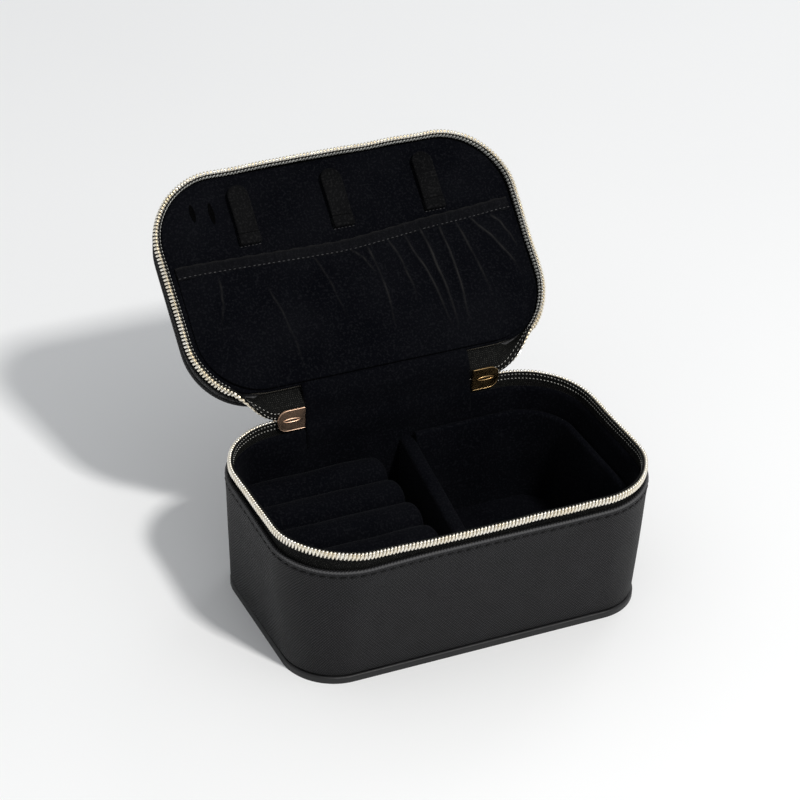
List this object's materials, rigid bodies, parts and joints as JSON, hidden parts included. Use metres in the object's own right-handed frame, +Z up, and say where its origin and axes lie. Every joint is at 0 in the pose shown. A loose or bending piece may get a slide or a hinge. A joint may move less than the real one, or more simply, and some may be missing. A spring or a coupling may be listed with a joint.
{
  "type": "jewellery case",
  "caption": "Zip-round leather jewellery case: hinged lid with necklace straps and gathered pocket, base with ring rolls, divider and open compartment.",
  "frame": {"origin": "centre of the flat underside of the foot panel", "axes": "+X along the long side to the right, +Y back towards the hinge, +Z up; the lid is stored open"},
  "size_m": [0.16, 0.1812, 0.1376],
  "materials": {
    "leather": "fine cross-hatched grain, satin",
    "smooth_leather": "smooth edge leather, satin",
    "velvet": "short black velvet pile",
    "board": "grey-brown case board",
    "foam": "soft foam padding",
    "tape": "black woven zip tape",
    "coil": "metallised pale gold coil",
    "gold": "polished warm gold plating",
    "snap": "dark snap fastener",
    "thread": "black waxed thread"
  },
  "bodies": {
    "base": {"foot_panel": "smooth_leather", "base_leather": "leather", "base_wall_board": "board", "base_floor_board": "board", "base_lining": "velvet", "floor_velvet": "velvet", "base_topstitch": "thread", "base_zip_tape": "tape", "base_zip_coil": "coil", "hinge_leather": "leather", "hinge_velvet": "velvet", "divider_board": "board", "divider_velvet": "velvet", "liner_board": "board", "liner_velvet": "velvet", "ring_tray_board": "board", "ring_tray_foam": "foam", "ring_roll_1": "velvet", "ring_roll_2": "velvet", "ring_roll_3": "velvet", "ring_roll_4": "velvet", "ring_roll_5": "velvet"},
    "lid": {"lid_top_panel": "leather", "lid_leather": "leather", "lid_wall_board": "board", "lid_top_board": "board", "lid_foam": "foam", "lid_topstitch": "thread", "lid_zip_tape": "tape", "lid_zip_coil": "coil", "lid_inner_board": "board", "lid_panel_velvet": "velvet", "pocket": "velvet", "pocket_hem": "velvet", "pocket_stitching": "thread", "strap_anchor_1": "velvet", "snap_stud_1": "snap", "strap_anchor_2": "velvet", "snap_stud_2": "snap", "strap_anchor_3": "velvet", "snap_stud_3": "snap"},
    "slider_right": {"slider_right": "gold"},
    "slider_left": {"slider_left": "gold"},
    "pull_right": {"pull_right": "gold"},
    "pull_left": {"pull_left": "gold"},
    "strap_1": {"strap_1": "velvet", "snap_socket_1": "snap"},
    "strap_2": {"strap_2": "velvet", "snap_socket_2": "snap"},
    "strap_3": {"strap_3": "velvet", "snap_socket_3": "snap"}
  },
  "joints": [
    {"name": "lid_hinge", "type": "hinge", "parent": "base", "child": "lid", "pos_m": [0, 0.05, 0.0675], "axis": [1, 0, 0], "range_deg": [0, 138.5]},
    {"name": "slider_right_run", "type": "slide", "parent": "base", "child": "slider_right", "axis": [1, 0, 0], "range_m": [0, 0.0045]},
    {"name": "pull_right_swing", "type": "hinge", "parent": "slider_right", "child": "pull_right", "pos_m": [0.04295, 0.0524, 0.0606], "axis": [1, 0, 0], "range_deg": [-3, 60]},
    {"name": "slider_left_run", "type": "slide", "parent": "base", "child": "slider_left", "axis": [-1, 0, 0], "range_m": [0, 0.0045]},
    {"name": "pull_left_swing", "type": "hinge", "parent": "slider_left", "child": "pull_left", "pos_m": [-0.04295, 0.0524, 0.0606], "axis": [1, 0, 0], "range_deg": [-3, 60]},
    {"name": "strap_1_fold", "type": "hinge", "parent": "lid", "child": "strap_1", "pos_m": [-0.04, 0.09887, 0.11821], "axis": [1, 0, 0], "range_deg": [0, 130]},
    {"name": "strap_2_fold", "type": "hinge", "parent": "lid", "child": "strap_2", "pos_m": [0.001, 0.09887, 0.11821], "axis": [1, 0, 0], "range_deg": [0, 130]},
    {"name": "strap_3_fold", "type": "hinge", "parent": "lid", "child": "strap_3", "pos_m": [0.042, 0.09887, 0.11821], "axis": [1, 0, 0], "range_deg": [0, 130]}
  ]
}
